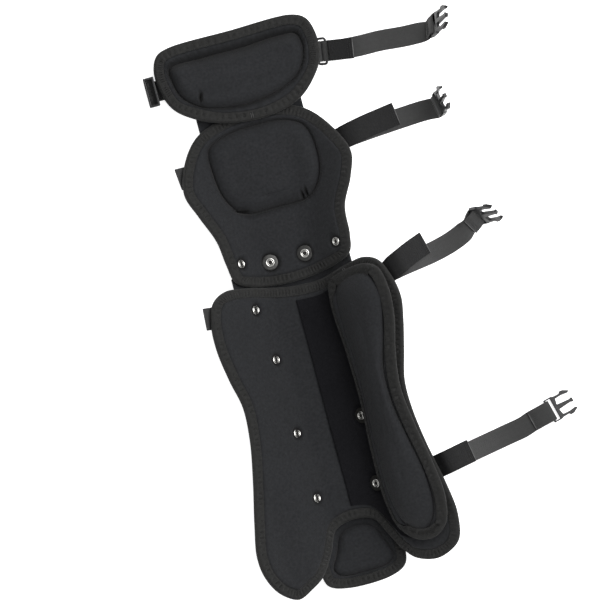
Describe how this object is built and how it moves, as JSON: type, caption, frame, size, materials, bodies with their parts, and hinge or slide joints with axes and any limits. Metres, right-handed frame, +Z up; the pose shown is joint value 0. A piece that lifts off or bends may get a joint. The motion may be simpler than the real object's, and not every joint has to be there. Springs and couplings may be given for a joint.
{
  "type": "umpire leg guard",
  "caption": "Black padded leg guard lying open: thigh pad, knee cup and long shin trough with instep flap, peel-off side pad, webbing straps and side-release buckles.",
  "frame": {"origin": "middle of the shin's flat outer face, on the surface that the guard lies on", "axes": "+Y runs up the leg from the ankle to the thigh, +X points to the side with the straps, +Z points up, from the outer face to the lined side"},
  "size_m": [0.4205, 0.6875, 0.0962],
  "materials": {
    "lining": "black woven cloth, slightly slubbed",
    "edge_tape": "black ribbed binding tape",
    "loop_pile": "very dark loop pile",
    "rivet_metal": "bright nickel",
    "webbing": "black woven webbing with a sheen",
    "hook_tape": "dark hook-faced tape",
    "buckle_plastic": "moulded black acetal"
  },
  "bodies": {
    "root": {"thigh_pad": "lining", "knee_pad": "lining", "shin_pad": "lining", "wing_pad": "lining", "instep_flap": "lining", "thigh_link": "lining", "knee_link": "lining", "thigh_binding": "edge_tape", "knee_binding": "edge_tape", "shin_binding": "edge_tape", "wing_binding": "edge_tape", "instep_binding": "edge_tape", "loop_strip": "loop_pile", "knee_rivet_1": "rivet_metal", "knee_rivet_2": "rivet_metal", "knee_rivet_3": "rivet_metal", "knee_rivet_4": "rivet_metal", "shin_rivet_1": "rivet_metal", "shin_rivet_2": "rivet_metal", "shin_rivet_3": "rivet_metal", "shin_rivet_4": "rivet_metal", "shin_rivet_5": "rivet_metal", "shin_rivet_6": "rivet_metal", "knee_washer_2": "rivet_metal", "knee_washer_3": "rivet_metal", "shin_washer_5": "rivet_metal", "shin_washer_6": "rivet_metal", "thigh_strap": "webbing", "knee_strap": "webbing", "calf_strap": "webbing", "ankle_strap": "webbing", "thigh_ring_tab": "webbing", "thigh_socket_tab": "webbing", "knee_anchor_tab": "webbing", "shin_anchor_tab": "webbing", "thigh_hook_tab": "hook_tape", "knee_hook_tab": "hook_tape", "calf_hook_tab": "hook_tape", "ankle_hook_tab": "hook_tape", "thigh_buckle": "buckle_plastic", "knee_buckle": "buckle_plastic", "calf_buckle": "buckle_plastic", "ankle_buckle": "buckle_plastic", "thigh_socket": "buckle_plastic", "thigh_ring": "buckle_plastic"}
  },
  "joints": []
}
